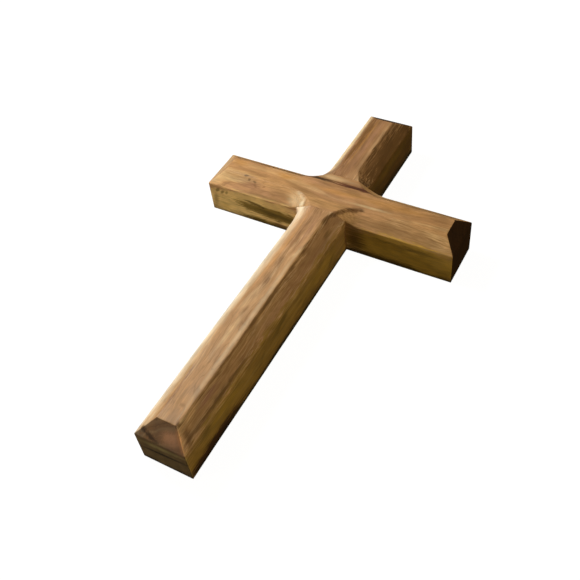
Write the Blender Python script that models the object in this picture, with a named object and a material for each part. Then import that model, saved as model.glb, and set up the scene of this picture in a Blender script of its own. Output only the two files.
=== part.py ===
"""Olive wood cross, lying on its back.

Two square bars are let into each other with a cross-halving joint, the crossbar at the front.
Once joined, the front is planed flush and one sloping edge is cut all round it.
The cutter can't reach into the four inner corners, so the slope turns round them as part of a cone,
while the walls below still meet in a sharp corner.

Frame: the back lies on z = 0 and the front faces +Z, +Y points to the head, +X to the right arm.
The origin is the middle of the back's bounding box. Lengths are in metres.
"""
import math

import bmesh
import bpy

# Outer sizes
LENGTH = 0.250            # foot to head
SPAN = 0.151              # end to end of the crossbar
HEAD_LENGTH = 0.079       # middle of the crossing to the head end
UPRIGHT_WIDTH = 0.0280
CROSSBAR_WIDTH = 0.0280
THICKNESS = 0.0265        # back to front

# Sloping edge round the front: how deep it is, and how far it reaches in over the front
SLOPE_DEPTH = 0.0066
UPRIGHT_SLOPE = 0.0093
CROSSBAR_SLOPE = 0.0082
FOOT_SLOPE = 0.0090
HEAD_SLOPE = 0.0092
LEFT_SLOPE = 0.0086
RIGHT_SLOPE = 0.0068

# Inner corners: the radius on which the cutter turns, measured where the slope meets the walls
LOWER_CORNER_RADIUS = 0.0085
UPPER_CORNER_RADIUS = 0.0125
CORNER_STEPS = 10         # facets of the slope round one inner corner

# Halving joint
LAP_HEIGHT = 0.0132       # back to the faces where the bars meet
JOINT_GAP = 0.0003        # glue line all round the joint

# Shaping
PLANING_ALLOWANCE = 0.0020  # the bars start this much too thick and are planed down
OVERREACH = 0.2             # the slope cutter runs on past the walls by this share of the slope

crossing_y = LENGTH / 2 - HEAD_LENGTH
foot_y = -LENGTH / 2
head_y = LENGTH / 2
half_span = SPAN / 2
half_upright = UPRIGHT_WIDTH / 2
half_crossbar = CROSSBAR_WIDTH / 2


def clear_scene():
    for old in list(bpy.data.objects):
        bpy.data.objects.remove(old, do_unlink=True)


def wood(name, colour, roughness):
    """A plain wood finish."""
    material = bpy.data.materials.new(name)
    material.use_nodes = True
    surface = material.node_tree.nodes["Principled BSDF"]
    surface.inputs["Base Color"].default_value = (*colour, 1.0)
    surface.inputs["Roughness"].default_value = roughness
    surface.inputs["Metallic"].default_value = 0.0
    material.diffuse_color = (*colour, 1.0)
    return material


def block(name, low, high):
    """A square-sawn block between two corners, with its origin at its middle."""
    middle = [(a + b) / 2 for a, b in zip(low, high)]
    size = [b - a for a, b in zip(low, high)]
    mesh = bpy.data.meshes.new(name)
    shape = bmesh.new()
    bmesh.ops.create_cube(shape, size=1.0)
    bmesh.ops.scale(shape, vec=size, verts=shape.verts)
    shape.to_mesh(mesh)
    shape.free()
    piece = bpy.data.objects.new(name, mesh)
    piece.location = middle
    bpy.context.scene.collection.objects.link(piece)
    return piece


def as_cutter(tool):
    tool.hide_render = True
    tool.display_type = "WIRE"
    return tool


def front_outline(reach):
    """The cross's outline on one level of the sloping edge.

    reach is 0 on the flat front and 1 where the slope meets the walls. Past 1 it lies outside them.
    """
    inset = 1.0 - reach
    right = half_span - RIGHT_SLOPE * inset
    left = -half_span + LEFT_SLOPE * inset
    head = head_y - HEAD_SLOPE * inset
    foot = foot_y + FOOT_SLOPE * inset
    side = half_upright - UPRIGHT_SLOPE * inset
    edge = half_crossbar - CROSSBAR_SLOPE * inset

    def inner_corner(sign_x, sign_y, from_upright):
        """The rounded corner, walked from the upright to the crossbar or back again."""
        turning_radius = UPPER_CORNER_RADIUS if sign_y > 0 else LOWER_CORNER_RADIUS
        radius_x = turning_radius + UPRIGHT_SLOPE * inset
        radius_y = turning_radius + CROSSBAR_SLOPE * inset
        middle_x = sign_x * (side + radius_x)
        middle_y = crossing_y + sign_y * (edge + radius_y)
        points = []
        for step in range(CORNER_STEPS + 1):
            turn = 0.5 * math.pi * step / CORNER_STEPS
            if not from_upright:
                turn = 0.5 * math.pi - turn
            points.append((middle_x - sign_x * radius_x * math.cos(turn),
                           middle_y - sign_y * radius_y * math.sin(turn)))
        return points

    outline = [(-side, foot), (side, foot)]
    outline += inner_corner(1, -1, True)
    outline += [(right, crossing_y - edge), (right, crossing_y + edge)]
    outline += inner_corner(1, 1, False)
    outline += [(side, head), (-side, head)]
    outline += inner_corner(-1, 1, True)
    outline += [(left, crossing_y + edge), (left, crossing_y - edge)]
    outline += inner_corner(-1, -1, False)
    return outline


def slope_cutter():
    """A body that fits over the joined bars and leaves what the planing and the slope leave."""
    lowest_reach = 1.0 + OVERREACH
    levels = [
        (-PLANING_ALLOWANCE, front_outline(lowest_reach)),
        (THICKNESS - SLOPE_DEPTH * lowest_reach, front_outline(lowest_reach)),
        (THICKNESS, front_outline(0.0)),
    ]
    shape = bmesh.new()
    rings = [[shape.verts.new((x, y, z)) for x, y in outline] for z, outline in levels]
    for lower, upper in zip(rings, rings[1:]):
        for index, corner in enumerate(lower):
            following = (index + 1) % len(lower)
            shape.faces.new((corner, lower[following], upper[following], upper[index]))
    shape.faces.new(reversed(rings[0]))
    shape.faces.new(rings[-1])
    mesh = bpy.data.meshes.new("slope_cutter")
    shape.to_mesh(mesh)
    shape.free()
    tool = bpy.data.objects.new("slope_cutter", mesh)
    bpy.context.scene.collection.objects.link(tool)
    return as_cutter(tool)


def cut(piece, tool, operation):
    step = piece.modifiers.new(tool.name, "BOOLEAN")
    step.operation = operation
    step.solver = "EXACT"
    step.object = tool


def make_upright(slope):
    """The long bar, with a notch across its front for the crossbar."""
    rough_top = THICKNESS + PLANING_ALLOWANCE
    upright = block("upright", (-half_upright, foot_y, 0.0), (half_upright, head_y, rough_top))
    notch = as_cutter(block(
        "front_notch_cutter",
        (-half_upright - PLANING_ALLOWANCE, crossing_y - half_crossbar - JOINT_GAP,
         LAP_HEIGHT - JOINT_GAP / 2),
        (half_upright + PLANING_ALLOWANCE, crossing_y + half_crossbar + JOINT_GAP,
         rough_top + PLANING_ALLOWANCE)))
    cut(upright, notch, "DIFFERENCE")
    cut(upright, slope, "INTERSECT")
    upright.data.materials.append(wood("olive_wood_upright", (0.40, 0.23, 0.12), 0.55))
    return upright


def make_crossbar(slope):
    """The short bar, with a notch across its back for the upright."""
    rough_top = THICKNESS + PLANING_ALLOWANCE
    crossbar = block("crossbar", (-half_span, crossing_y - half_crossbar, 0.0),
                     (half_span, crossing_y + half_crossbar, rough_top))
    notch = as_cutter(block(
        "back_notch_cutter",
        (-half_upright - JOINT_GAP, crossing_y - half_crossbar - PLANING_ALLOWANCE,
         -PLANING_ALLOWANCE),
        (half_upright + JOINT_GAP, crossing_y + half_crossbar + PLANING_ALLOWANCE,
         LAP_HEIGHT + JOINT_GAP / 2)))
    cut(crossbar, notch, "DIFFERENCE")
    cut(crossbar, slope, "INTERSECT")
    crossbar.data.materials.append(wood("olive_wood_crossbar", (0.43, 0.26, 0.13), 0.55))
    return crossbar


def main():
    clear_scene()
    slope = slope_cutter()
    make_upright(slope)
    make_crossbar(slope)


main()
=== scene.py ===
import math

import bmesh
import bpy
from mathutils import Matrix, Vector


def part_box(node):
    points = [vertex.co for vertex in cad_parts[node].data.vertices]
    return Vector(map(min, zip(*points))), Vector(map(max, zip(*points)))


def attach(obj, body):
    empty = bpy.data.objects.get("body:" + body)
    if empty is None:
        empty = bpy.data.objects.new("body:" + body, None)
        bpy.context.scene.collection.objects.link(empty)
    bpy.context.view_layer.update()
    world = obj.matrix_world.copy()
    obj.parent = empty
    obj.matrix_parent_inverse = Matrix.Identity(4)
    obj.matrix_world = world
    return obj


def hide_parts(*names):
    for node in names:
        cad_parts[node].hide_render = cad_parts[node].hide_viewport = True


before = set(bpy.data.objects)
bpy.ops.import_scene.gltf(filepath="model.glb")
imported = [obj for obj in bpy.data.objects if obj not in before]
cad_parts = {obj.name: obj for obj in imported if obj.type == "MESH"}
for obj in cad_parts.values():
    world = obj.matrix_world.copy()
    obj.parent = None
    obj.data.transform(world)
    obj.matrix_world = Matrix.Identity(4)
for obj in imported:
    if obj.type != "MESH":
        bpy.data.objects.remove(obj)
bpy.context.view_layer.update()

bl_info = {
    "name": "Olive wood cross",
    "version": (1, 0, 0),
    "blender": (4, 5, 0),
    "location": "View3D > Sidebar > Wood cross",
    "description": "Makes a cross from two olive wood bars, with a hand-cut sloping edge round the front",
    "category": "Add Mesh",
}

# The bars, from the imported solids
UPRIGHT_LOW, UPRIGHT_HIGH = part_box("upright")
CROSSBAR_LOW, CROSSBAR_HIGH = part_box("crossbar")
FOOT = UPRIGHT_LOW.y
HEAD = UPRIGHT_HIGH.y
HALF_UPRIGHT = (UPRIGHT_HIGH.x - UPRIGHT_LOW.x) / 2
HALF_CROSSBAR = (CROSSBAR_HIGH.y - CROSSBAR_LOW.y) / 2
HALF_SPAN = (CROSSBAR_HIGH.x - CROSSBAR_LOW.x) / 2
CROSSING = (CROSSBAR_HIGH.y + CROSSBAR_LOW.y) / 2
THICKNESS = UPRIGHT_HIGH.z

# The sloping edge: its depth, and how far it reaches in over the front on each side
SLOPE_DEPTH = 0.0066
UPRIGHT_SLOPE = 0.0093
CROSSBAR_SLOPE = 0.0082
FOOT_SLOPE = 0.0090
HEAD_SLOPE = 0.0092
LEFT_SLOPE = 0.0086
RIGHT_SLOPE = 0.0068
# The inner corners, by side and end: the radius of the turn where the slope meets the walls,
# and how far outside the walls the middle of the flat's own turn lies
TURNS = {
    (-1, -1): (0.0110, 0.0085),
    (1, -1): (0.0085, 0.0085),
    (-1, 1): (0.0125, 0.0125),
    (1, 1): (0.0125, 0.0125),
}
TURN_STEPS = 32
CORNER_FILLET = 0.0035    # the lower left inner corner isn't cut quite square
FILLET_STEPS = 8
LAP_HEIGHT = 0.0132       # back to the faces where the bars meet
ROUGH = 0.002             # what the bars and the cutter stand over before they are planed
OVERREACH = 0.2           # the cutter runs on below the walls' top by this share of the slope
# Where the flat's edge strays along the lower upright: side, place along it, reach and amount
WANDERING = (
    (-1, -0.062, 0.062, 0.0027),
    (-1, -0.125, 0.035, 0.0011),
    (1, -0.072, 0.080, 0.0010),
)
WANDER_CUTS = 19
LONG_EDGE = 0.1           # only the slope's own edges along the lower upright are longer

# Sanding and shading
SHARP = math.radians(20)          # edges that turn by more are sanded
SANDED_STEPS = 3
SANDED_PROFILE = 0.6
SMOOTH_BELOW = math.radians(25)   # faces that turn by less are shaded as one
LENGTH_TO_SPARE = 0.025           # the joint tool runs this far past the bars
CUT_SHIFT = 0.37                  # keeps the cross cuts clear of the bars' own edges
# Unevenness of hand work: name, spacing and share of the whole depth
HAND_WAVES = (
    ("slow_wave", 0.045, 0.7),
    ("plane_marks", 0.014, 0.3),
)

# Tolerances for finding vertices and edges by their place
TINY = 1e-6
SMALL = 1e-5


class CrossShape(bpy.types.PropertyGroup):
    """How the bars are worked."""

    edge_softness: bpy.props.FloatProperty(
        name="Edge softness", description="Width that is sanded off every outer edge",
        default=0.00045, min=0.0001, max=0.002, precision=5, unit="LENGTH")
    hand_work: bpy.props.FloatProperty(
        name="Hand work", description="How deep the slow unevenness of the hand-planed faces is",
        default=0.0002, min=0.0, max=0.001, precision=5, unit="LENGTH")
    mesh_step: bpy.props.FloatProperty(
        name="Mesh step", description="Spacing of the cuts that carry the unevenness",
        default=0.0020, min=0.001, max=0.01, precision=5, unit="LENGTH")
    glue_line: bpy.props.FloatProperty(
        name="Glue line", description="Width of the seam between the two bars",
        default=0.00006, min=0.00002, max=0.0003, precision=6, unit="LENGTH")


class CrossWood(bpy.types.PropertyGroup):
    """The colours of the olive wood."""

    sapwood: bpy.props.FloatVectorProperty(
        name="Sapwood", description="Colour of the palest wood", subtype="COLOR",
        size=3, min=0.0, max=1.0, default=(0.62, 0.43, 0.24))
    heartwood: bpy.props.FloatVectorProperty(
        name="Heartwood", description="Colour of most of the wood", subtype="COLOR",
        size=3, min=0.0, max=1.0, default=(0.46, 0.26, 0.12))
    pink_heart: bpy.props.FloatVectorProperty(
        name="Pink heart", description="Colour of the pinkish bands", subtype="COLOR",
        size=3, min=0.0, max=1.0, default=(0.42, 0.23, 0.125))
    olive_band: bpy.props.FloatVectorProperty(
        name="Olive band", description="Colour of the broad dark bands", subtype="COLOR",
        size=3, min=0.0, max=1.0, default=(0.20, 0.11, 0.035))
    dark_line: bpy.props.FloatVectorProperty(
        name="Dark line", description="Colour of the thin dark growth lines", subtype="COLOR",
        size=3, min=0.0, max=1.0, default=(0.09, 0.045, 0.018))
    line_spacing: bpy.props.FloatProperty(
        name="Line spacing", description="Usual distance between growth lines",
        default=0.0022, min=0.0005, max=0.01, precision=4, unit="LENGTH")
    roughness: bpy.props.FloatProperty(
        name="Roughness", description="Roughness of the oiled surface", subtype="FACTOR",
        default=0.5, min=0.0, max=1.0)


class CrossStudio(bpy.types.PropertyGroup):
    """Floor, lights and surroundings."""

    key_power: bpy.props.FloatProperty(
        name="Key power", description="Power of the light on the left", unit="POWER",
        default=2.75, min=0.0, max=100.0)
    key_size: bpy.props.FloatProperty(
        name="Key size", description="Side of the square light on the left", unit="LENGTH",
        default=0.16, min=0.01, max=2.0)
    fill_colour: bpy.props.FloatVectorProperty(
        name="Fill colour", description="Colour of the soft light on the right", subtype="COLOR",
        size=3, min=0.0, max=1.0, default=(1.0, 0.86, 0.45))
    fill_power: bpy.props.FloatProperty(
        name="Fill power", description="Power of the soft light on the right", unit="POWER",
        default=3.6, min=0.0, max=1000.0)
    low_power: bpy.props.FloatProperty(
        name="Low power", description="Power of the low light in front on the left", unit="POWER",
        default=2.0, min=0.0, max=1000.0)
    overhead_power: bpy.props.FloatProperty(
        name="Overhead power", description="Power of the large soft light overhead", unit="POWER",
        default=3.0, min=0.0, max=1000.0)
    fill_strength: bpy.props.FloatProperty(
        name="Fill strength", description="Strength of the light from all round",
        default=0.04, min=0.0, max=5.0)
    floor_colour: bpy.props.FloatVectorProperty(
        name="Floor colour", description="Colour of the floor", subtype="COLOR",
        size=3, min=0.0, max=1.0, default=(0.1, 0.1, 0.1))


# Floor and lights
FLOOR_SIZE = 40.0
FLOOR_DROP = 0.00005      # the floor lies this far under the cross's back
FLOOR_GLOW = 0.97
LIT_SPOT = Vector((0.0, CROSSING - 0.03, THICKNESS))
KEY_PLACE = Vector((-0.36, 0.06, 0.40))
OVERHEAD_PLACE = Vector((-0.3, 0.5, 1.6))
OVERHEAD_SIZE = 2.0
LOW_PLACE = Vector((-0.45, -0.55, 0.09))
LOW_SIZE = 0.16
FILL_PLACE = Vector((0.80, -0.20, 0.48))
FILL_SIZE = 0.8
DAYLIGHT = (1.0, 0.97, 0.92)
WARM_LIGHT = (1.0, 0.93, 0.80)

# Camera: place, turn and lens of the photograph's view
CAMERA_PLACE = Vector((0.159679, -0.234497, 0.313418))
CAMERA_RIGHT = Vector((0.871235, 0.481046, -0.097700))
CAMERA_DOWN = Vector((0.306745, -0.688933, -0.656718))
CAMERA_FOCAL = 773.5      # in pixels of a 580 pixel picture
PICTURE_WIDTH = 580
SENSOR = 36.0


def deselect():
    bpy.ops.object.select_all(action="DESELECT")


def take(piece):
    """Makes one piece active and selected, and nothing else."""
    deselect()
    piece.select_set(True)
    bpy.context.view_layer.objects.active = piece


def settle(piece):
    """Puts the place, turn and size of a piece into its mesh."""
    take(piece)
    bpy.ops.object.transform_apply(location=True, rotation=True, scale=True)


def start_edit(piece, mode):
    take(piece)
    bpy.ops.object.mode_set(mode="EDIT")
    bpy.ops.mesh.select_mode(type=mode)
    bpy.ops.mesh.select_all(action="DESELECT")


def end_edit():
    bpy.ops.object.mode_set(mode="OBJECT")


def pick(piece, kind, test):
    """Selects the vertices, edges or faces that pass a test, and says how many there are."""
    bpy.ops.mesh.select_all(action="DESELECT")
    shape = bmesh.from_edit_mesh(piece.data)
    count = 0
    for element in getattr(shape, kind):
        if test(element):
            element.select_set(True)
            count += 1
    shape.select_flush_mode()
    bmesh.update_edit_mesh(piece.data)
    return count


def block(name, low, high):
    """A square-sawn block between two corners."""
    deselect()
    middle = [(a + b) / 2 for a, b in zip(low, high)]
    size = [b - a for a, b in zip(low, high)]
    bpy.ops.mesh.primitive_cube_add(size=1.0, location=middle, scale=size)
    piece = bpy.context.object
    piece.name = name
    settle(piece)
    return piece


def apply(piece, modifier):
    take(piece)
    bpy.ops.object.modifier_apply(modifier=modifier.name)


def cut(piece, tool, operation, keep_tool=False):
    step = piece.modifiers.new("cut", "BOOLEAN")
    step.operation = operation
    step.solver = "EXACT"
    step.object = tool
    apply(piece, step)
    if not keep_tool:
        bpy.data.objects.remove(tool, do_unlink=True)


def near(value, target, tolerance=TINY):
    return abs(value - target) < tolerance


def spread_ring(piece, level, share):
    """Moves the outline on one level out from the walls by a share of the slope, or in if it is negative."""
    def on_level(v):
        return near(v.co.z, level)

    def arm_end(v):
        """Past the turns, where the outline is straight."""
        turn = TURNS[1 if v.co.x > 0 else -1, 1 if v.co.y > CROSSING else -1][0]
        if near(abs(v.co.x), HALF_UPRIGHT):
            return abs(v.co.y - CROSSING) > HALF_CROSSBAR + turn + SMALL
        return abs(v.co.x) > HALF_UPRIGHT + turn + SMALL

    def outside(sign_x, sign_y, x, y):
        """A point on the level, as far outside one inner corner of the walls as x and y say."""
        return Vector((sign_x * (HALF_UPRIGHT + x), CROSSING + sign_y * (HALF_CROSSBAR + y), level))

    slopes = (UPRIGHT_SLOPE, CROSSBAR_SLOPE)
    for (sign_x, sign_y), (turn, flat_turn) in TURNS.items():
        middle = outside(sign_x, sign_y, turn, turn)
        kept = turn if share > 0 else flat_turn
        growth = [(kept - slope * share) / turn for slope in slopes]
        pivot = [-slope * share / (factor - 1) for slope, factor in zip(slopes, growth)]
        pick(piece, "verts", lambda v: on_level(v) and near((v.co - middle).length, turn, SMALL))
        bpy.ops.transform.resize(value=(*growth, 1.0), center_override=outside(sign_x, sign_y, *pivot))
    ends = (
        (lambda v: near(v.co.y, FOOT), (0.0, -FOOT_SLOPE * share, 0.0)),
        (lambda v: near(v.co.y, HEAD), (0.0, HEAD_SLOPE * share, 0.0)),
        (lambda v: near(v.co.x, HALF_SPAN), (RIGHT_SLOPE * share, 0.0, 0.0)),
        (lambda v: near(v.co.x, -HALF_SPAN), (-LEFT_SLOPE * share, 0.0, 0.0)),
    )
    sides = []
    for sign in (-1, 1):
        sides.append((lambda v, s=sign: near(v.co.x, s * HALF_UPRIGHT) and arm_end(v),
                      (sign * UPRIGHT_SLOPE * share, 0.0, 0.0)))
        sides.append((lambda v, s=sign: near(v.co.y, CROSSING + s * HALF_CROSSBAR) and arm_end(v),
                      (0.0, sign * CROSSBAR_SLOPE * share, 0.0)))
    for test, move in (*sides, *ends):
        pick(piece, "verts", lambda v: on_level(v) and test(v))
        bpy.ops.transform.translate(value=move)


def wander_edge(tool, walls_top, side, middle, reach, amount):
    """Lets the flat's edge on one side of the lower upright stray outwards, most at one place along it."""
    lower_turn = CROSSING - HALF_CROSSBAR - TURNS[side, -1][1]

    def along_slope(edge):
        first, second = (v.co for v in edge.verts)
        return (first.x * side > 0 and near(first.x, second.x) and near(first.z, second.z)
                and first.z > walls_top - TINY and abs(first.y - second.y) > LONG_EDGE)

    def on_flat(v):
        return near(v.co.z, THICKNESS) and v.co.x * side > 0 and abs(v.co.x) < HALF_UPRIGHT

    bpy.ops.mesh.select_mode(type="EDGE")
    if pick(tool, "edges", along_slope) == 2:
        bpy.ops.mesh.subdivide(number_cuts=WANDER_CUTS)
    bpy.ops.mesh.select_mode(type="VERT")
    shape = bmesh.from_edit_mesh(tool.data)
    places = sorted({round(v.co.y, 6) for v in shape.verts if on_flat(v) and v.co.y < lower_turn - SMALL})
    for place in places:
        away = abs(place - middle) / reach
        if away < 1.0:
            pick(tool, "verts", lambda v: on_flat(v) and near(v.co.y, place, 2 * TINY))
            share = (0.5 + 0.5 * math.cos(math.pi * away)) * amount
            bpy.ops.transform.translate(value=(side * share, 0.0, 0.0))


def pull(move):
    """Pulls the selected edges or faces out and leaves new faces behind them."""
    bpy.ops.mesh.extrude_region_move(TRANSFORM_OT_translate={"value": move})


def slope_cutter():
    """A body that fits over the joined bars and leaves what the planing and the slope leave."""
    walls_top = THICKNESS - SLOPE_DEPTH
    lowest = walls_top - SLOPE_DEPTH * OVERREACH
    lower_side = CROSSING - HALF_CROSSBAR
    upper_side = CROSSING + HALF_CROSSBAR

    def across_upright(e, y):
        return all(near(v.co.y, y) for v in e.verts)

    def across_crossbar(e, x):
        return all(near(v.co.x, x) and near(abs(v.co.y - CROSSING), HALF_CROSSBAR) for v in e.verts)

    deselect()
    bpy.ops.mesh.primitive_plane_add(size=1.0, location=(0.0, CROSSING, walls_top))
    tool = bpy.context.object
    tool.name = "slope_cutter"
    tool.scale = (2 * HALF_UPRIGHT, 2 * HALF_CROSSBAR, 1.0)
    settle(tool)
    start_edit(tool, "EDGE")
    arms = (
        (lambda e: across_upright(e, lower_side), (0.0, FOOT - lower_side, 0.0)),
        (lambda e: across_upright(e, upper_side), (0.0, HEAD - upper_side, 0.0)),
        (lambda e: across_crossbar(e, HALF_UPRIGHT), (HALF_SPAN - HALF_UPRIGHT, 0.0, 0.0)),
        (lambda e: across_crossbar(e, -HALF_UPRIGHT), (HALF_UPRIGHT - HALF_SPAN, 0.0, 0.0)),
    )
    for test, move in arms:
        pick(tool, "edges", test)
        pull(move)
    pick(tool, "edges", lambda e: len(e.link_faces) == 2)
    bpy.ops.mesh.dissolve_edges(use_verts=False)
    bpy.ops.mesh.select_mode(type="VERT")
    for (sign_x, sign_y), (turn, _) in TURNS.items():
        corner_y = CROSSING + sign_y * HALF_CROSSBAR
        pick(tool, "verts", lambda v: near(v.co.x, sign_x * HALF_UPRIGHT) and near(v.co.y, corner_y))
        bpy.ops.mesh.bevel(
            offset_type="OFFSET", offset=turn, segments=TURN_STEPS, profile=0.5, affect="VERTICES")
    bpy.ops.mesh.select_mode(type="FACE")
    bpy.ops.mesh.select_all(action="SELECT")
    pull((0.0, 0.0, SLOPE_DEPTH))
    bpy.ops.mesh.select_mode(type="VERT")
    spread_ring(tool, THICKNESS, -1.0)
    for wander in WANDERING:
        wander_edge(tool, walls_top, *wander)
    bpy.ops.mesh.select_mode(type="FACE")
    pick(tool, "faces", lambda f: near(f.calc_center_median().z, walls_top))
    pull((0.0, 0.0, lowest - walls_top))
    bpy.ops.mesh.select_mode(type="VERT")
    spread_ring(tool, lowest, OVERREACH)
    bpy.ops.mesh.select_mode(type="FACE")
    pick(tool, "faces", lambda f: near(f.calc_center_median().z, lowest))
    pull((0.0, 0.0, -lowest - ROUGH))
    bpy.ops.mesh.select_all(action="SELECT")
    bpy.ops.mesh.normals_make_consistent(inside=False)
    end_edit()
    return tool


def soften(piece, width):
    """Sands every outer edge round. The inner corners between the bars stay sharp."""
    start_edit(piece, "EDGE")
    pick(piece, "edges", lambda e: len(e.link_faces) == 2 and e.is_convex and e.calc_face_angle() > SHARP)
    bpy.ops.mesh.bevel(
        offset_type="OFFSET", offset=width, segments=SANDED_STEPS, profile=SANDED_PROFILE, affect="EDGES",
        clamp_overlap=False)
    end_edit()


def cross_cuts(piece, step):
    """Cuts the faces along a grid, so that they can follow a slow unevenness."""
    start_edit(piece, "FACE")
    for axis, low, high in ((0, -HALF_SPAN, HALF_SPAN), (1, FOOT, HEAD), (2, 0.0, THICKNESS)):
        count = round((high - low) / step)
        normal = [0.0, 0.0, 0.0]
        normal[axis] = 1.0
        for index in range(1, count):
            place = [0.0, 0.0, 0.0]
            place[axis] = low + (high - low) * (index + CUT_SHIFT) / (count + 0.5)
            bpy.ops.mesh.select_all(action="SELECT")
            bpy.ops.mesh.bisect(plane_co=place, plane_no=normal, use_fill=False)
    bpy.ops.mesh.select_all(action="SELECT")
    bpy.ops.mesh.quads_convert_to_tris(quad_method="BEAUTY", ngon_method="BEAUTY")
    end_edit()


def work_by_hand(piece, depth):
    """Lets the faces dip a little here and there, never past the sawn size."""
    for name, spacing, share in HAND_WAVES:
        wave = bpy.data.textures.new(name, "CLOUDS")
        wave.noise_scale = spacing
        wave.noise_depth = 1
        step = piece.modifiers.new(name, "DISPLACE")
        step.texture = wave
        step.texture_coords = "LOCAL"
        step.direction = "NORMAL"
        step.mid_level = 1.0
        step.strength = depth * share
        apply(piece, step)


def fill_corner(body):
    """Leaves a little wood standing in the lower left inner corner."""
    def in_corner(v):
        return near(v.co.x, -HALF_UPRIGHT) and near(v.co.y, CROSSING - HALF_CROSSBAR)

    start_edit(body, "EDGE")
    pick(body, "edges", lambda e: all(in_corner(v) for v in e.verts))
    bpy.ops.mesh.bevel(
        offset_type="OFFSET", offset=CORNER_FILLET, segments=FILLET_STEPS, profile=0.5, affect="EDGES")
    end_edit()


def joined_bars(shape, filled):
    """Both bars as one body, planed, sloped and sanded, before it is parted along the joint."""
    rough_top = THICKNESS + ROUGH
    body = block("joined_bars", (-HALF_UPRIGHT, FOOT, 0.0), (HALF_UPRIGHT, HEAD, rough_top))
    arms = block("arms", (-HALF_SPAN, CROSSING - HALF_CROSSBAR, 0.0),
                 (HALF_SPAN, CROSSING + HALF_CROSSBAR, rough_top))
    cut(body, arms, "UNION")
    if filled:
        fill_corner(body)
    cut(body, slope_cutter(), "INTERSECT")
    soften(body, shape.edge_softness)
    cross_cuts(body, shape.mesh_step)
    work_by_hand(body, shape.hand_work)
    return body


def joint_tool(across, glue):
    """The space of one bar with its notch, a little too large all round, to take it away from the other."""
    far = HEAD + LENGTH_TO_SPARE
    if across:
        low = (-far, CROSSING - HALF_CROSSBAR - glue, -ROUGH)
        high = (far, CROSSING + HALF_CROSSBAR + glue, THICKNESS + ROUGH)
        notch_low = (-HALF_UPRIGHT, CROSSING - HALF_CROSSBAR - ROUGH, -2 * ROUGH)
        notch_high = (HALF_UPRIGHT, CROSSING + HALF_CROSSBAR + ROUGH, LAP_HEIGHT - glue / 2)
    else:
        low = (-HALF_UPRIGHT - glue, -far, -ROUGH)
        high = (HALF_UPRIGHT + glue, far, THICKNESS + ROUGH)
        notch_low = (-HALF_UPRIGHT - ROUGH, CROSSING - HALF_CROSSBAR, LAP_HEIGHT + glue / 2)
        notch_high = (HALF_UPRIGHT + ROUGH, CROSSING + HALF_CROSSBAR, THICKNESS + 2 * ROUGH)
    tool = block("joint_tool", low, high)
    cut(tool, block("notch", notch_low, notch_high), "DIFFERENCE")
    return tool


def finish_bar(piece, name, node, material):
    start_edit(piece, "VERT")
    bpy.ops.mesh.select_all(action="SELECT")
    bpy.ops.mesh.remove_doubles(threshold=TINY)
    bpy.ops.mesh.quads_convert_to_tris(quad_method="BEAUTY", ngon_method="BEAUTY")
    end_edit()
    take(piece)
    bpy.ops.object.shade_smooth_by_angle(angle=SMOOTH_BELOW)
    piece.name = name
    piece.data.name = name
    piece.data.materials.clear()
    piece.data.materials.append(material)
    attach(piece, "root")
    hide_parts(node)
    return piece


# Materials. Their lengths are in millimetres.
MM = 1000.0
HALF = (0.5, 0.5, 0.5)
END_BEGINS = 50.0         # from the middle of the cross, along the bar
FLOAT = "NodeSocketFloat"
VECTOR = "NodeSocketVector"


def put(tree, kind, inputs=None, **settings):
    """Adds a node, sets it, and links or fills its inputs."""
    node = tree.nodes.new(kind)
    for key, value in settings.items():
        setattr(node, key, value)
    for key, value in (inputs or {}).items():
        if isinstance(value, bpy.types.NodeSocket):
            tree.links.new(value, node.inputs[key])
        else:
            node.inputs[key].default_value = value
    return node


def sums(tree, operation, *values, clamp=False):
    inputs = dict(enumerate(values))
    return put(tree, "ShaderNodeMath", inputs, operation=operation, use_clamp=clamp).outputs[0]


def vector_sums(tree, operation, *values):
    node = put(tree, "ShaderNodeVectorMath", dict(enumerate(values)), operation=operation)
    return node.outputs["Value" if operation in {"LENGTH", "DOT_PRODUCT"} else "Vector"]


def blend_colours(tree, share, first, second, kind="MIX"):
    node = put(tree, "ShaderNodeMix", data_type="RGBA", blend_type=kind, clamp_factor=True)
    for index, value in ((0, share), (6, first), (7, second)):
        if isinstance(value, bpy.types.NodeSocket):
            tree.links.new(value, node.inputs[index])
        elif index == 0:
            node.inputs[index].default_value = value
        else:
            node.inputs[index].default_value = (*value, 1.0)
    return node.outputs[2]


def to_range(tree, value, low, high, to_low=0.0, to_high=1.0, smooth=True):
    return put(tree, "ShaderNodeMapRange", {0: value, 1: low, 2: high, 3: to_low, 4: to_high},
               interpolation_type="SMOOTHSTEP" if smooth else "LINEAR").outputs[0]


def new_group(name, inputs, outputs):
    """An empty node group with named sockets."""
    tree = bpy.data.node_groups.new(name, "ShaderNodeTree")
    for label, kind, value in inputs:
        socket = tree.interface.new_socket(name=label, in_out="INPUT", socket_type=kind)
        if value is not None:
            socket.default_value = value
    for label, kind in outputs:
        tree.interface.new_socket(name=label, in_out="OUTPUT", socket_type=kind)
    return tree, tree.nodes.new("NodeGroupInput").outputs, tree.nodes.new("NodeGroupOutput").inputs


def use_group(tree, group, inputs):
    node = tree.nodes.new("ShaderNodeGroup")
    node.node_tree = group
    for key, value in inputs.items():
        if isinstance(value, bpy.types.NodeSocket):
            tree.links.new(value, node.inputs[key])
        else:
            node.inputs[key].default_value = value
    return node.outputs


def noise(tree, vector, scale, detail, roughness, flat=False):
    """Soft random spots, in space or on a flat sheet."""
    inputs = {"Vector": vector, "Scale": scale, "Detail": detail, "Roughness": roughness}
    return put(tree, "ShaderNodeTexNoise", inputs, noise_dimensions="2D" if flat else "3D").outputs


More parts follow.
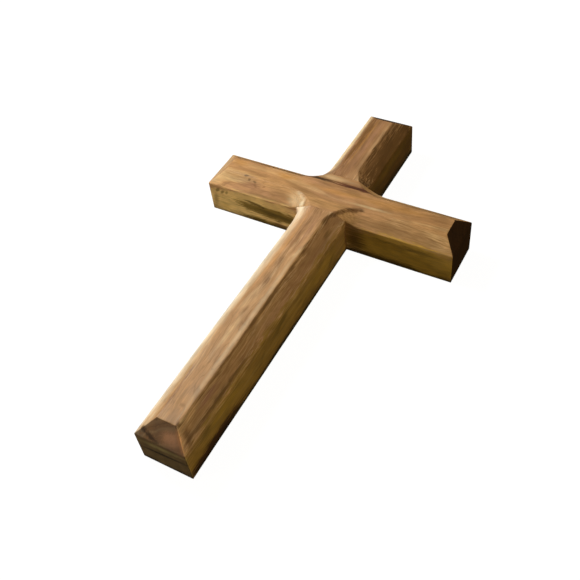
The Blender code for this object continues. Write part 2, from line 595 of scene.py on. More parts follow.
def growth_group():
    """Growth lines round a pith that runs along X. Coordinates are in millimetres."""
    if "olive_growth" in bpy.data.node_groups:
        return bpy.data.node_groups["olive_growth"]
    tree, given, result = new_group(
        "olive_growth",
        [("Vector", VECTOR, None), ("Pith", VECTOR, (0.0, 10.0, -30.0)), ("Spacing", FLOAT, 2.2),
         ("Waviness", FLOAT, 1.0), ("Shift", VECTOR, (0.0, 0.0, 0.0))],
        [("Vector", VECTOR), ("Figure", FLOAT), ("Lines", FLOAT), ("Broad", FLOAT)])
    moved = vector_sums(tree, "ADD", given["Vector"], given["Shift"])
    slow = noise(tree, vector_sums(tree, "MULTIPLY", moved, (0.014, 0.045, 0.045)), 1.0, 2.0, 0.5)
    slow_drift = vector_sums(tree, "SUBTRACT", slow["Color"], HALF)
    swirl = vector_sums(tree, "MULTIPLY", slow_drift, (0.0, 7.0, 7.0))
    quick = noise(tree, vector_sums(tree, "MULTIPLY", moved, (0.07, 0.35, 0.35)), 1.0, 2.0, 0.5)
    quick_drift = vector_sums(tree, "SUBTRACT", quick["Color"], HALF)
    ripple = vector_sums(tree, "MULTIPLY", quick_drift, (0.0, 0.9, 0.9))
    both = vector_sums(tree, "SCALE", vector_sums(tree, "ADD", swirl, ripple))
    tree.links.new(given["Waviness"], both.node.inputs["Scale"])
    warped = vector_sums(tree, "ADD", given["Vector"], both)
    tree.links.new(warped, result["Vector"])
    from_pith = vector_sums(tree, "SUBTRACT", warped, given["Pith"])
    across = vector_sums(tree, "MULTIPLY", from_pith, (0.0, 1.0, 1.0))
    radius = vector_sums(tree, "LENGTH", across)
    rings = sums(tree, "DIVIDE", radius, given["Spacing"])
    along = put(tree, "ShaderNodeSeparateXYZ", {0: moved}).outputs[0]
    sheet = put(tree, "ShaderNodeCombineXYZ", {0: rings, 1: sums(tree, "MULTIPLY", along, 0.012)}).outputs[0]
    fine = noise(tree, sheet, 0.9, 3.0, 0.62, flat=True)["Fac"]
    tree.links.new(fine, result["Figure"])
    broad = noise(tree, sheet, 0.23, 1.0, 0.5, flat=True)["Fac"]
    tree.links.new(broad, result["Broad"])
    ridge = sums(tree, "ABSOLUTE", sums(tree, "SUBTRACT", fine, 0.5))
    line = to_range(tree, ridge, 0.0, 0.022, 1.0, 0.0)
    seldom = noise(tree, sheet, 0.31, 1.0, 0.5, flat=True)["Fac"]
    tree.links.new(sums(tree, "MULTIPLY", line, to_range(tree, seldom, 0.48, 0.62)), result["Lines"])
    return tree


def fibre_group():
    """Fine fibres and pores along X, in millimetres."""
    if "wood_fibres" in bpy.data.node_groups:
        return bpy.data.node_groups["wood_fibres"]
    tree, given, result = new_group(
        "wood_fibres", [("Vector", VECTOR, None)], [("Fibres", FLOAT), ("Pores", FLOAT), ("Mottle", FLOAT)])
    place = given["Vector"]
    fine = noise(tree, vector_sums(tree, "MULTIPLY", place, (0.11, 1.7, 1.7)), 1.0, 3.0, 0.6)
    tree.links.new(fine["Fac"], result["Fibres"])
    pores = put(tree, "ShaderNodeTexVoronoi", {
        "Vector": vector_sums(tree, "MULTIPLY", place, (0.5, 3.2, 3.2)), "Scale": 1.0, "Randomness": 1.0})
    tree.links.new(to_range(tree, pores.outputs["Distance"], 0.05, 0.22, 1.0, 0.0), result["Pores"])
    mottle = noise(tree, vector_sums(tree, "MULTIPLY", place, (0.09, 0.22, 0.22)), 1.0, 2.5, 0.55)
    tree.links.new(mottle["Fac"], result["Mottle"])
    return tree


def streak_group():
    """A long soft-edged streak, knot, patch, painted highlight or painted shade: 1 inside an oval body and 0
    outside it.
    """
    if "wood_streak" in bpy.data.node_groups:
        return bpy.data.node_groups["wood_streak"]
    tree, given, result = new_group(
        "wood_streak", [("Vector", VECTOR, None), ("Fray", FLOAT, 0.5), ("Softness", FLOAT, 0.5)],
        [("Mask", FLOAT)])
    away = vector_sums(tree, "LENGTH", given["Vector"])
    fray = sums(tree, "MULTIPLY", sums(tree, "SUBTRACT", given["Fray"], 0.5), 1.6)
    inner = sums(tree, "SUBTRACT", 1.0, given["Softness"])
    mask = to_range(tree, sums(tree, "ADD", away, fray), inner, 1.15, 1.0, 0.0)
    tree.links.new(mask, result["Mask"])
    return tree


def end_grain_group():
    """1 where the surface cuts across the grain, 0 where it runs along it."""
    if "end_grain" in bpy.data.node_groups:
        return bpy.data.node_groups["end_grain"]
    tree, given, result = new_group(
        "end_grain", [("Normal", VECTOR, None), ("Grain", VECTOR, (1.0, 0.0, 0.0))], [("Mask", FLOAT)])
    facing = sums(tree, "ABSOLUTE", vector_sums(tree, "DOT_PRODUCT", given["Normal"], given["Grain"]))
    tree.links.new(to_range(tree, facing, 0.20, 0.55), result["Mask"])
    return tree


def add_streaks(tree, colour, place, fray, streaks):
    """Lays the streaks, and the painted highlights and shade among them, over the colour, one after the
    other.
    """
    for middle, half, turn, tint, strength, softness in streaks:
        turned = [math.radians(angle) for angle in turn]
        body = put(tree, "ShaderNodeMapping", {
            "Vector": place, "Location": middle, "Rotation": turned, "Scale": half},
            vector_type="TEXTURE").outputs[0]
        inside = use_group(tree, streak_group(), {"Vector": body, "Fray": fray, "Softness": softness})["Mask"]
        colour = blend_colours(tree, sums(tree, "MULTIPLY", inside, strength), colour, tint)
    return colour


def darken_ends(tree, colour, end, along, end_grain_and_shade_tints):
    """Tints the end grain past END_BEGINS, first at the low end of the bar and then at the high one. The
    tints are darker end grain and painted shade together: an end in shade is tinted far darker than a lit
    one.
    """
    for sign, tint in zip((-1.0, 1.0), end_grain_and_shade_tints):
        there = sums(tree, "GREATER_THAN", sums(tree, "MULTIPLY", along, sign), END_BEGINS)
        colour = blend_colours(tree, sums(tree, "MULTIPLY", end, there), colour, tint, "MULTIPLY")
    return colour


def olive_wood(name, wood, grain, pith, shift, tone, end_grain_and_shade_tints, streaks):
    """Oiled olive wood. grain is the axis that the bar lies along, X or Y."""
    material = bpy.data.materials.new(name)
    material.use_nodes = True
    tree = material.node_tree
    surface = tree.nodes["Principled BSDF"]
    coordinates = tree.nodes.new("ShaderNodeTexCoord")
    along_y = grain == "Y"
    turned = put(tree, "ShaderNodeMapping", {
        "Vector": coordinates.outputs["Object"],
        "Rotation": (0.0, 0.0, -math.pi / 2 if along_y else 0.0),
        "Scale": (MM, MM, MM)}, vector_type="POINT").outputs[0]
    growth = use_group(tree, growth_group(), {
        "Vector": turned, "Pith": pith, "Spacing": wood.line_spacing * MM, "Waviness": 1.0, "Shift": shift})
    fibres = use_group(tree, fibre_group(), {"Vector": growth["Vector"]})
    end = use_group(tree, end_grain_group(), {
        "Normal": coordinates.outputs["Normal"],
        "Grain": (0.0, 1.0, 0.0) if along_y else (1.0, 0.0, 0.0)})["Mask"]

    heart = to_range(tree, growth["Broad"], 0.40, 0.62)
    colour = blend_colours(tree, heart, tuple(wood.heartwood), tuple(wood.pink_heart))
    sap = to_range(tree, growth["Figure"], 0.50, 0.78)
    colour = blend_colours(tree, sap, colour, tuple(wood.sapwood))
    dark = sums(tree, "MULTIPLY", to_range(tree, growth["Figure"], 0.46, 0.28), 0.55)
    colour = blend_colours(tree, dark, colour, tuple(wood.olive_band))
    line = sums(tree, "MULTIPLY", growth["Lines"], 0.30)
    colour = blend_colours(tree, line, colour, tuple(wood.dark_line))
    place = vector_sums(tree, "MULTIPLY", coordinates.outputs["Object"], (MM, MM, MM))
    colour = add_streaks(tree, colour, place, fibres["Fibres"], streaks)

    shade = to_range(tree, fibres["Fibres"], 0.25, 0.75, 0.80, 1.18, smooth=False)
    shade = sums(tree, "MULTIPLY", shade, to_range(tree, fibres["Mottle"], 0.3, 0.7, 0.86, 1.12))
    shade = sums(tree, "MULTIPLY", shade, to_range(tree, fibres["Pores"], 0.0, 1.0, 1.0, 0.80))
    along, height = (put(tree, "ShaderNodeSeparateXYZ", {0: turned}).outputs[axis] for axis in (0, 2))
    # Painted shade along the bottom edges, where the sides meet the floor: the colour darkens towards the
    # back, with a frayed top.
    contact_shade_height = sums(tree, "ADD", height, sums(tree, "MULTIPLY", fibres["Mottle"], 3.0))
    shade = sums(tree, "MULTIPLY", shade, to_range(tree, contact_shade_height, 1.6, 5.2, 0.28, 1.0))
    grey = put(tree, "ShaderNodeCombineColor", {0: shade, 1: shade, 2: shade}).outputs[0]
    colour = blend_colours(tree, 1.0, colour, grey, "MULTIPLY")
    colour = blend_colours(tree, 1.0, colour, tone, "MULTIPLY")
    colour = darken_ends(tree, colour, end, along, end_grain_and_shade_tints)
    tree.links.new(colour, surface.inputs["Base Color"])

    rough = to_range(tree, fibres["Mottle"], 0.3, 0.7, wood.roughness - 0.07, wood.roughness + 0.08)
    rough = sums(tree, "ADD", rough, sums(tree, "MULTIPLY", end, 0.2), clamp=True)
    tree.links.new(rough, surface.inputs["Roughness"])
    raised, sunk = (sums(tree, "MULTIPLY", fibres[part], 0.5) for part in ("Fibres", "Pores"))
    relief = sums(tree, "SUBTRACT", raised, sunk)
    bump = put(tree, "ShaderNodeBump", {"Height": relief, "Strength": 0.25, "Distance": 0.0001})
    tree.links.new(bump.outputs[0], surface.inputs["Normal"])
    surface.inputs["Specular IOR Level"].default_value = 0.22
    return material


# Tints of the streaks and patches, from dark to pale. Those over 1 stand for marks on the darkened ends.
BLACK_RED = (0.045, 0.016, 0.010)
INK = (0.050, 0.028, 0.012)
DARK_OLIVE = (0.110, 0.052, 0.014)
# Painted shade just under the flat's edge, on the slopes that face away from the light
UNDER_EDGE_SHADE = (0.120, 0.055, 0.018)
RED_BROWN = (0.150, 0.055, 0.030)
OLIVE = (0.110, 0.072, 0.016)
BURNT = (0.170, 0.078, 0.020)
OLIVE_BROWN = (0.150, 0.088, 0.026)
OLIVE_BAND = (0.190, 0.120, 0.022)
PLUM = (0.230, 0.105, 0.078)
BROWN = (0.240, 0.120, 0.052)
UPPER_BROWN = (0.270, 0.135, 0.060)
RUSSET = (0.270, 0.140, 0.062)
GOLD_OLIVE = (0.300, 0.175, 0.032)
DULL_TAN = (0.320, 0.180, 0.082)
PINK_TAN = (0.400, 0.210, 0.120)
DULL_ORANGE = (0.400, 0.215, 0.092)
BRIGHT_OLIVE = (0.400, 0.240, 0.040)
ORANGE = (0.520, 0.260, 0.075)
ORANGE_TAN = (0.490, 0.270, 0.118)
FOOT_OLIVE = (0.430, 0.330, 0.150)
TAN = (0.500, 0.310, 0.150)
GREY_TAN = (0.500, 0.350, 0.220)
YELLOW = (0.560, 0.370, 0.120)
SUNNY_OLIVE = (0.600, 0.370, 0.080)
MITRE_ORANGE = (0.950, 0.480, 0.220)
CREAM = (0.700, 0.545, 0.360)
PALE_TAN = (0.780, 0.540, 0.240)
PALE_YELLOW = (0.880, 0.680, 0.400)
WHITE_CREAM = (0.820, 0.720, 0.560)
FOOT_PINK = (1.200, 0.660, 0.400)
FOOT_GREEN = (0.920, 0.800, 0.380)

# The shade in the lower right inner corner, as oval bodies along the flat's turn
SHADE_BODIES = 10
SHADE_STEP = 8.0          # degrees from one body to the next
SHADE_START = 2.0
SHADE_INSIDE = 0.9        # how far the bodies' middles lie under the flat's edge
SHADE_BELOW = 0.5
SHADE_HALF_SIZE = (1.7, 3.6, 2.4)


def corner_shade():
    """Painted shade: a darker line just under the flat's edge, where the cutter turned in the lower right
    corner.
    """
    turn = TURNS[1, -1][0] * MM
    middle_x = HALF_UPRIGHT * MM + turn
    middle_y = (CROSSING - HALF_CROSSBAR) * MM - turn
    reach_x = turn + UPRIGHT_SLOPE * MM - SHADE_INSIDE
    reach_y = turn + CROSSBAR_SLOPE * MM - SHADE_INSIDE
    bodies = []
    for step in range(SHADE_BODIES):
        degrees = SHADE_START + SHADE_STEP * step
        angle = math.radians(degrees)
        place = (middle_x - reach_x * math.cos(angle), middle_y + reach_y * math.sin(angle),
                 THICKNESS * MM - SHADE_BELOW)
        bodies.append((place, SHADE_HALF_SIZE, (0, 0, -degrees), UNDER_EDGE_SHADE, 0.70, 0.95))
    return tuple(bodies)


CORNER_SHADE = corner_shade()

# Where the bars' figure departs from the even growth lines, and where highlights and shade are painted on:
# middle and half size of an oval body, its turn in degrees, its tint, strength and softness. Places are in
# millimetres in the cross's frame.
# Later bodies lie over earlier ones.
CROSSBAR_STREAKS_AND_PAINTED_LIGHT = (
    # Flat of both arms, with the dark growth line along its upper edge
    ((-44.0, 46.0, 26.5), (36.0, 8.0, 2.5), (0, 0, 0), ORANGE_TAN, 0.60, 0.5),
    ((44.0, 46.0, 26.5), (36.0, 8.0, 2.5), (0, 0, 0), DULL_ORANGE, 0.45, 0.5),
    ((-7.0, 57.4, 26.5), (17.0, 2.2, 1.5), (0, 0, 0), CREAM, 0.45, 0.9),
    ((8.0, 56.2, 26.5), (9.0, 1.4, 1.5), (0, 0, 0), PLUM, 0.25, 0.9),
    ((-30.0, 54.3, 26.0), (49.0, 1.35, 3.0), (0, 0, 0), INK, 0.95, 0.5),
    ((10.0, 54.2, 26.5), (18.0, 1.7, 2.0), (0, 0, 0), RED_BROWN, 0.95, 0.5),
    ((12.0, 54.0, 26.5), (14.0, 0.9, 2.0), (0, 0, 0), BLACK_RED, 0.60, 0.8),
    ((-75.0, 46.0, 23.0), (7.0, 18.0, 5.0), (0, 0, 0), GREY_TAN, 0.70, 0.6),
    ((-63.0, 49.0, 26.5), (8.0, 3.2, 2.0), (0, 0, 0), ORANGE, 0.60, 0.9),
    ((-31.0, 48.3, 26.5), (8.0, 3.0, 2.0), (0, 0, 0), ORANGE, 0.70, 0.9),
    ((-50.0, 44.0, 26.5), (24.0, 1.5, 2.0), (0, 0, 1), RUSSET, 0.35, 0.9),
    ((1.0, 47.0, 26.5), (17.0, 2.8, 2.0), (0, 0, 0), ORANGE, 0.55, 0.9),
    ((-2.0, 51.5, 26.5), (18.0, 1.4, 2.0), (0, 0, -1), RUSSET, 0.45, 0.9),
    ((36.0, 48.0, 26.5), (26.0, 3.4, 3.0), (0, 0, 0), ORANGE, 0.40, 0.9),
    ((60.0, 46.0, 26.5), (12.0, 6.0, 3.0), (0, 0, 0), RUSSET, 0.35, 0.9),
    ((24.0, 42.8, 26.5), (15.0, 1.0, 1.0), (0, 0, 1), CREAM, 0.55, 0.8),
    # Lower slope of the left arm, with its small knots, and the painted highlight in the inner corner
    ((-49.0, 37.5, 23.5), (11.0, 4.5, 4.0), (0, 0, 0), PLUM, 0.40, 0.9),
    ((-53.0, 40.2, 26.3), (1.6, 0.9, 1.5), (0, 0, 20), INK, 0.65, 0.7),
    ((-50.3, 38.8, 25.3), (1.3, 0.8, 1.2), (0, 0, 20), INK, 0.60, 0.7),
    ((-46.5, 38.4, 24.8), (1.5, 0.7, 1.2), (0, 0, -20), INK, 0.55, 0.7),
    ((-45.5, 36.8, 23.5), (1.6, 0.7, 1.2), (0, 0, -30), BROWN, 0.60, 0.7),
    ((-40.0, 37.4, 24.2), (1.4, 0.7, 1.2), (0, 0, 20), BROWN, 0.60, 0.7),
    ((-30.0, 38.0, 24.5), (9.0, 3.0, 3.0), (0, 0, 0), DULL_TAN, 0.50, 0.9),
    # Painted highlight in the lower left inner corner: pale over the cone, palest in an arc along the flat's
    # edge
    ((-18.5, 36.0, 22.5), (8.0, 5.0, 5.0), (0, 0, -15), CREAM, 0.50, 0.95),
    ((-16.5, 38.6, 24.2), (4.6, 1.9, 2.6), (0, 0, -32), WHITE_CREAM, 0.70, 0.95),
    ((-13.2, 34.6, 23.5), (2.0, 4.2, 3.0), (0, 0, -8), WHITE_CREAM, 0.85, 0.95),
    # Lower side of the left arm
    # Painted light: the whole near side is made paler, where the light from the left falls on it
    ((-45.0, 31.6, 8.0), (42.0, 3.0, 13.0), (0, 0, 0), PALE_TAN, 0.95, 0.3),
    ((-36.0, 32.8, 20.9), (20.0, 1.3, 1.2), (0, 0, 0), OLIVE_BROWN, 0.60, 0.9),
    ((-32.0, 32.0, 10.0), (29.0, 4.0, 4.4), (0, 3, 0), OLIVE_BAND, 0.95, 0.35),
    ((-31.0, 32.0, 9.8), (20.0, 4.0, 2.2), (0, 3, 0), OLIVE, 0.80, 0.8),
    ((-45.0, 32.0, 14.2), (8.0, 3.0, 1.3), (0, 6, 0), OLIVE, 0.85, 0.7),
    ((-34.0, 32.0, 1.6), (26.0, 3.0, 2.6), (0, 2, 0), OLIVE_BAND, 0.95, 0.5),
    ((-27.0, 32.0, 3.0), (9.0, 3.0, 1.6), (0, 2, 0), RED_BROWN, 0.50, 0.8),
    ((-66.0, 32.0, 5.0), (5.5, 2.0, 3.6), (0, 0, 0), YELLOW, 0.60, 0.9),
    ((-69.5, 32.6, 16.5), (1.2, 2.0, 3.2), (0, 35, 0), OLIVE, 0.70, 0.7),
    ((-66.5, 32.6, 15.5), (1.0, 2.0, 2.6), (0, 40, 0), OLIVE, 0.70, 0.7),
    ((-63.5, 32.6, 16.0), (1.0, 2.0, 2.0), (0, 30, 0), OLIVE, 0.60, 0.7),
    ((-72.0, 32.0, 9.0), (2.4, 2.0, 7.0), (0, 10, 0), OLIVE_BROWN, 0.60, 0.9),
    ((-39.0, 32.0, 12.7), (0.8, 2.0, 0.6), (0, 0, 0), INK, 0.70, 0.7),
    # Lower slope of the right arm
    # Painted shade running on from the lower right inner corner under the flat's edge, ending in a dark spot
    ((15.5, 38.8, 25.2), (7.0, 2.0, 1.8), (0, 0, 12), RED_BROWN, 0.55, 0.95),
    ((20.3, 39.5, 26.2), (2.3, 1.3, 1.3), (0, 0, 0), INK, 0.75, 0.9),
    ((44.0, 35.0, 22.5), (34.0, 5.0, 5.0), (0, 0, 0), DULL_TAN, 0.75, 0.5),
    ((40.0, 38.8, 25.6), (26.0, 0.7, 0.8), (0, 0, 0), BROWN, 0.40, 0.8),
    ((46.0, 36.2, 23.0), (24.0, 0.7, 0.8), (0, 0, 0), BROWN, 0.55, 0.8),
    ((62.0, 32.6, 20.0), (11.0, 0.9, 0.9), (0, 0, 0), RED_BROWN, 0.60, 0.8),
    # Lower side of the right arm
    ((50.0, 31.2, 9.0), (42.0, 3.0, 14.0), (0, 0, 0), SUNNY_OLIVE, 0.95, 0.3),
    ((52.0, 31.5, 15.5), (22.0, 5.0, 2.2), (0, 0, 0), OLIVE_BROWN, 0.60, 0.9),
    ((45.0, 31.5, 10.0), (1.6, 5.0, 6.0), (0, 20, 0), YELLOW, 0.25, 0.9),
    ((67.0, 31.5, 9.0), (5.0, 5.0, 6.0), (0, 0, 0), YELLOW, 0.30, 0.9),
    # Painted shade: near black in the corner beside the upright and along the bottom edge
    ((19.0, 32.0, 10.0), (8.0, 3.0, 13.0), (0, 0, 0), BLACK_RED, 0.75, 0.9),
    ((34.0, 32.0, 2.0), (34.0, 3.0, 3.0), (0, 0, 0), BLACK_RED, 0.70, 0.8),
)
UPRIGHT_STREAKS_AND_PAINTED_LIGHT = (
    # The whole upper arm is browner
    ((0.0, 97.0, 22.0), (18.0, 50.0, 24.0), (0, 0, 0), UPPER_BROWN, 0.65, 0.2),
    # Pale left slope, with a browner line where it meets the flat
    ((-14.0, -40.0, 23.0), (8.0, 130.0, 9.0), (0, 0, 0), CREAM, 0.85, 0.6),
    ((-14.6, -48.0, 20.2), (4.4, 100.0, 4.4), (0, 0, 0), WHITE_CREAM, 0.85, 0.6),
    # Painted highlight: the upright's part of the arc in the lower left inner corner
    ((-13.0, 28.0, 24.0), (5.0, 12.0, 5.0), (0, 0, 0), CREAM, 0.65, 0.8),
    ((-12.4, 29.0, 23.3), (1.8, 9.0, 2.6), (0, 0, 0), WHITE_CREAM, 0.75, 0.95),
    ((-6.2, -30.0, 25.4), (1.7, 90.0, 1.6), (0, 0, 0), ORANGE, 0.45, 0.9),
    ((-5.8, -100.0, 25.7), (1.4, 20.0, 1.5), (0, 0, 0), BROWN, 0.75, 0.8),
    ((-7.0, -86.0, 25.0), (1.0, 2.6, 1.2), (0, 0, 0), ORANGE, 0.70, 0.8),
    # Flat below the crossing
    ((-4.6, 4.0, 26.5), (1.0, 40.0, 1.2), (0, 0, 0), ORANGE, 0.45, 0.9),
    ((-1.8, -6.0, 26.5), (1.7, 46.0, 1.5), (0, 0, 0), RUSSET, 0.75, 0.9),
    ((1.5, 14.0, 26.5), (1.5, 22.0, 1.5), (0, 0, 0), PLUM, 0.35, 0.9),
    ((-1.4, -46.0, 26.5), (1.4, 3.0, 1.0), (0, 0, 0), BROWN, 0.50, 0.9),
    ((-1.0, -26.0, 26.5), (1.6, 3.0, 1.0), (0, 0, 0), BROWN, 0.50, 0.9),
    ((3.6, -55.0, 26.5), (1.5, 66.0, 1.0), (0, 0, 0), CREAM, 0.50, 0.8),
    # Right slope below the crossing
    ((10.0, -92.0, 23.0), (4.4, 40.0, 4.0), (0, 0, 0), RUSSET, 0.60, 0.5),
    ((10.5, -50.0, 23.0), (6.0, 40.0, 5.0), (0, 0, 0), RUSSET, 0.50, 0.6),
    ((10.5, 8.0, 23.0), (6.5, 44.0, 5.5), (0, 0, 0), RUSSET, 0.80, 0.4),
    ((8.4, -96.0, 24.4), (2.0, 11.0, 1.8), (0, 0, 0), PLUM, 0.60, 0.9),
    # Painted shade just under the flat's edge on the right slope
    ((5.9, -50.0, 25.9), (1.1, 86.0, 1.1), (0, 0, 0), UNDER_EDGE_SHADE, 0.75, 0.8),
    ((12.0, -90.0, 21.4), (1.7, 40.0, 1.6), (0, 0, 0), DARK_OLIVE, 0.90, 0.8),
    ((13.4, -52.0, 20.2), (1.2, 18.0, 1.2), (4, 0, 0), DARK_OLIVE, 0.75, 0.8),
    ((10.4, 20.0, 23.0), (1.8, 7.0, 1.5), (0, 0, 0), OLIVE, 0.60, 0.9),
    # Right side below the crossing
    ((13.5, -40.0, 9.0), (3.0, 140.0, 14.0), (0, 0, 0), GOLD_OLIVE, 0.75, 0.3),
    ((14.0, -92.0, 15.0), (2.0, 20.0, 6.0), (0, 0, 0), BRIGHT_OLIVE, 0.60, 0.9),
    ((14.0, 2.0, 12.0), (2.0, 24.0, 6.0), (0, 0, 0), BRIGHT_OLIVE, 0.40, 0.9),
    ((14.0, -41.0, 16.0), (2.0, 11.0, 3.0), (16, 0, 0), OLIVE, 0.65, 0.9),
    ((14.0, -109.0, 16.0), (2.0, 7.0, 4.0), (10, 0, 0), OLIVE, 0.50, 0.9),
    ((14.0, -60.0, 11.0), (2.0, 6.0, 2.0), (40, 0, 0), OLIVE, 0.40, 0.9),
    ((14.0, 14.0, 9.0), (2.0, 5.0, 1.6), (40, 0, 0), OLIVE, 0.40, 0.9),
    # Painted shade: the right side darkens towards its bottom edge and is near black along it
    ((14.0, -104.0, 3.0), (2.0, 32.0, 5.6), (0, 0, 0), BLACK_RED, 0.95, 0.6),
    ((14.0, -30.0, 0.5), (2.0, 90.0, 4.2), (0, 0, 0), INK, 0.90, 0.7),
    ((14.0, -20.0, 6.0), (2.0, 60.0, 3.0), (-2, 0, 0), DARK_OLIVE, 0.35, 0.9),
    ((14.0, 25.0, 13.0), (2.0, 9.0, 11.0), (0, 0, 0), DULL_TAN, 0.60, 0.9),
    # Painted shade in the inner corner where the right side meets the crossbar
    ((14.0, 31.5, 9.0), (2.0, 1.4, 14.0), (0, 0, 0), RED_BROWN, 0.70, 0.9),
    # Foot
    ((-5.8, -123.2, 21.1), (7.5, 1.5, 1.5), (0, 12, -17), DARK_OLIVE, 0.90, 0.8),
    ((-10.5, -121.4, 22.4), (3.4, 1.5, 1.8), (0, 12, -17), DARK_OLIVE, 0.75, 0.8),
    ((4.6, -121.0, 22.6), (7.0, 4.8, 3.8), (0, 0, 0), FOOT_PINK, 0.70, 0.9),
    ((9.0, -120.7, 23.0), (1.3, 7.5, 1.2), (27, 0, 46), MITRE_ORANGE, 0.80, 0.8),
    # Painted shade under the flat's edge at the foot's right corner
    ((11.6, -117.2, 22.4), (2.6, 8.0, 2.6), (24, 0, 46), UNDER_EDGE_SHADE, 0.80, 0.9),
    ((5.4, -115.2, 26.2), (1.5, 2.2, 1.4), (0, 0, 0), UNDER_EDGE_SHADE, 0.80, 0.8),
    ((0.0, -125.5, 9.0), (22.0, 1.6, 14.0), (0, 0, 0), FOOT_OLIVE, 0.75, 0.4),
    ((0.0, -125.0, 16.6), (18.0, 2.0, 2.2), (0, -4, 0), FOOT_GREEN, 0.70, 0.9),
    ((0.0, -125.0, 11.2), (18.0, 2.0, 1.2), (0, -4, 0), INK, 0.90, 0.8),
    # Upper arm
    ((-13.6, 96.0, 20.8), (4.4, 48.0, 3.6), (0, 0, 0), PALE_YELLOW, 0.90, 0.7),
    ((-6.2, 91.0, 25.5), (3.6, 30.0, 3.4), (0, 0, -2), BURNT, 0.95, 0.7),
    ((-8.0, 108.0, 24.8), (3.6, 22.0, 3.4), (0, 0, 3), BURNT, 0.75, 0.9),
    ((-0.6, 92.0, 26.5), (1.6, 34.0, 1.4), (0, 0, 0), PINK_TAN, 0.60, 0.9),
    ((-3.6, 92.0, 26.5), (0.8, 30.0, 1.0), (0, 0, 0), ORANGE, 0.50, 0.9),
    ((3.6, 95.0, 26.5), (1.2, 30.0, 1.0), (0, 0, 0), TAN, 0.70, 0.8),
    ((12.0, 97.0, 11.0), (8.0, 50.0, 24.0), (0, 0, 0), DARK_OLIVE, 0.88, 0.3),
    ((8.0, 78.0, 24.0), (2.4, 20.0, 2.4), (0, 0, 0), RUSSET, 0.45, 0.9),
    ((14.0, 92.0, 16.0), (2.0, 40.0, 5.0), (0, 0, 0), GOLD_OLIVE, 0.40, 0.9),
    ((5.6, 95.0, 26.0), (1.2, 30.0, 1.2), (0, 0, 0), DARK_OLIVE, 0.50, 0.9),
    # Painted shade along the bottom edge of the right side
    ((14.0, 94.0, 1.5), (3.0, 60.0, 5.0), (0, 0, 0), INK, 0.90, 0.6),
)


class CROSS_OT_upright(bpy.types.Operator):
    """Makes the upright bar with its notch and olive wood finish"""

    bl_idname = "mesh.wood_cross_upright"
    bl_label = "Upright"
    bl_options = {"REGISTER", "UNDO"}

    def execute(self, context):
        shape = context.scene.wood_cross_shape
        body = joined_bars(shape, filled=True)
        cut(body, joint_tool(True, shape.glue_line), "DIFFERENCE")
        material = olive_wood(
            "olive_wood_upright", context.scene.wood_cross_wood, "Y", pith=(0.0, -14.0, -16.0),
            shift=(40.0, 5.0, 3.0), tone=(1.0, 1.0, 1.0), end_grain_and_shade_tints=((0.27, 0.24, 0.21), (0.16, 0.13, 0.10)),
            streaks=UPRIGHT_STREAKS_AND_PAINTED_LIGHT + CORNER_SHADE)
        finish_bar(body, "upright_bar", "upright", material)
        return {"FINISHED"}


class CROSS_OT_crossbar(bpy.types.Operator):
    """Makes the crossbar with its notch and olive wood finish"""

    bl_idname = "mesh.wood_cross_crossbar"
    bl_label = "Crossbar"
    bl_options = {"REGISTER", "UNDO"}

    def execute(self, context):
        shape = context.scene.wood_cross_shape
        body = joined_bars(shape, filled=False)
        cut(body, joint_tool(False, shape.glue_line), "DIFFERENCE")
        # The crossbar's right end gets a near-black tint of painted shade over its darker end grain; the lit
        # left end is barely tinted.
        material = olive_wood(
            "olive_wood_crossbar", context.scene.wood_cross_wood, "X", pith=(0.0, 66.0, -20.0),
            shift=(300.0, 9.0, 1.0), tone=(1.0, 0.98, 0.86),
            end_grain_and_shade_tints=((0.86, 0.86, 0.84), (0.070, 0.042, 0.020)), streaks=CROSSBAR_STREAKS_AND_PAINTED_LIGHT + CORNER_SHADE)
        finish_bar(body, "crossbar_bar", "crossbar", material)
        return {"FINISHED"}


class CROSS_OT_stage(bpy.types.Operator):
    """Makes the pale floor, the soft lights and the camera"""

    bl_idname = "scene.wood_cross_stage"
    bl_label = "Stage"
    bl_options = {"REGISTER", "UNDO"}

    def execute(self, context):
        studio = context.scene.wood_cross_studio
        deselect()
        bpy.ops.mesh.primitive_plane_add(size=FLOOR_SIZE, location=(0.0, 0.0, -FLOOR_DROP))
        floor = context.object
        floor.name = "floor"
        settle(floor)
        floor.data.materials.append(floor_paint(studio))
        floor.visible_diffuse = False
        floor.visible_glossy = False
        lamp("key_light", KEY_PLACE, studio.key_power, studio.key_size, DAYLIGHT)
        lamp("overhead_light", OVERHEAD_PLACE, studio.overhead_power, OVERHEAD_SIZE, DAYLIGHT)
        lamp("low_light", LOW_PLACE, studio.low_power, LOW_SIZE, WARM_LIGHT)
        lamp("fill_light", FILL_PLACE, studio.fill_power, FILL_SIZE, tuple(studio.fill_colour))
        world = bpy.data.worlds.new("surroundings")
        world.use_nodes = True
        sky = world.node_tree.nodes["Background"]
        sky.inputs["Color"].default_value = (*studio.fill_colour, 1.0)
        sky.inputs["Strength"].default_value = studio.fill_strength
        context.scene.world = world
        place_camera(context.scene)
        context.scene.view_settings.view_transform = "Standard"
        context.scene.view_settings.look = "None"
        return {"FINISHED"}


def lamp(name, place, power, size, colour):
    """A square soft light that points at the cross."""
    bpy.ops.object.light_add(type="AREA", location=place)
    light = bpy.context.object
    light.name = name
    light.rotation_euler = (LIT_SPOT - place).to_track_quat("-Z", "Y").to_euler()
    light.data.shape = "SQUARE"
    light.data.size = size
    light.data.energy = power
    light.data.color = colour


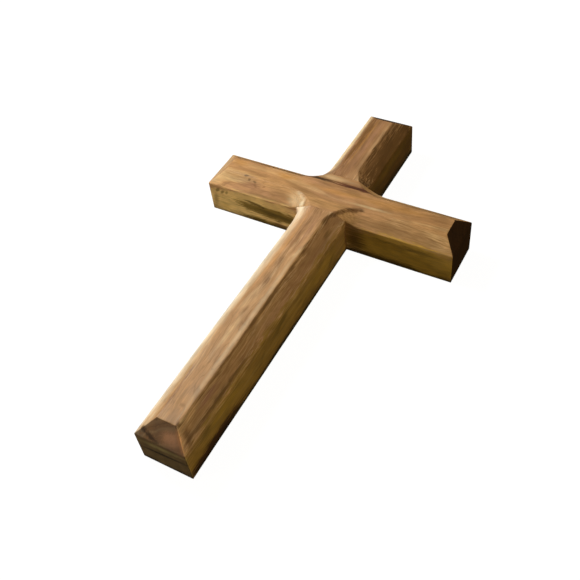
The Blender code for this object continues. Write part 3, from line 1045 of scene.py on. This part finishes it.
def floor_paint(studio):
    """A plain matt floor that glows a little, so that it stays pale in the cross's shade."""
    material = bpy.data.materials.new("floor_paint")
    material.use_nodes = True
    surface = material.node_tree.nodes["Principled BSDF"]
    surface.inputs["Base Color"].default_value = (*studio.floor_colour, 1.0)
    surface.inputs["Roughness"].default_value = 0.9
    surface.inputs["Specular IOR Level"].default_value = 0.1
    surface.inputs["Emission Color"].default_value = (1.0, 1.0, 1.0, 1.0)
    surface.inputs["Emission Strength"].default_value = FLOOR_GLOW
    return material


def place_camera(scene):
    forward = CAMERA_DOWN.cross(CAMERA_RIGHT) * -1.0
    turn = Matrix((CAMERA_RIGHT, -CAMERA_DOWN, -forward)).transposed()
    bpy.ops.object.camera_add(location=CAMERA_PLACE)
    camera = bpy.context.object
    camera.name = "camera"
    camera.rotation_euler = turn.to_euler()
    camera.data.sensor_width = SENSOR
    camera.data.lens = CAMERA_FOCAL * SENSOR / PICTURE_WIDTH
    camera.data.clip_start = 0.01
    scene.camera = camera


class CROSS_PT_panel(bpy.types.Panel):
    """Lists the steps that make the cross"""

    bl_idname = "CROSS_PT_panel"
    bl_label = "Olive wood cross"
    bl_space_type = "VIEW_3D"
    bl_region_type = "UI"
    bl_category = "Wood cross"

    def draw(self, context):
        for group in ("wood_cross_shape", "wood_cross_wood", "wood_cross_studio"):
            settings = getattr(context.scene, group)
            box = self.layout.box()
            for key in type(settings).__annotations__:
                box.prop(settings, key)
        for operator in (CROSS_OT_upright, CROSS_OT_crossbar, CROSS_OT_stage):
            self.layout.operator(operator.bl_idname)


CLASSES = (
    CrossShape, CrossWood, CrossStudio, CROSS_OT_upright, CROSS_OT_crossbar, CROSS_OT_stage, CROSS_PT_panel)


def register():
    for item in CLASSES:
        bpy.utils.register_class(item)
    bpy.types.Scene.wood_cross_shape = bpy.props.PointerProperty(type=CrossShape)
    bpy.types.Scene.wood_cross_wood = bpy.props.PointerProperty(type=CrossWood)
    bpy.types.Scene.wood_cross_studio = bpy.props.PointerProperty(type=CrossStudio)


def unregister():
    del bpy.types.Scene.wood_cross_studio
    del bpy.types.Scene.wood_cross_wood
    del bpy.types.Scene.wood_cross_shape
    for item in reversed(CLASSES):
        bpy.utils.unregister_class(item)


def main():
    register()
    bpy.ops.mesh.wood_cross_upright()
    bpy.ops.mesh.wood_cross_crossbar()
    bpy.ops.scene.wood_cross_stage()


if __name__ == "__main__":
    main()
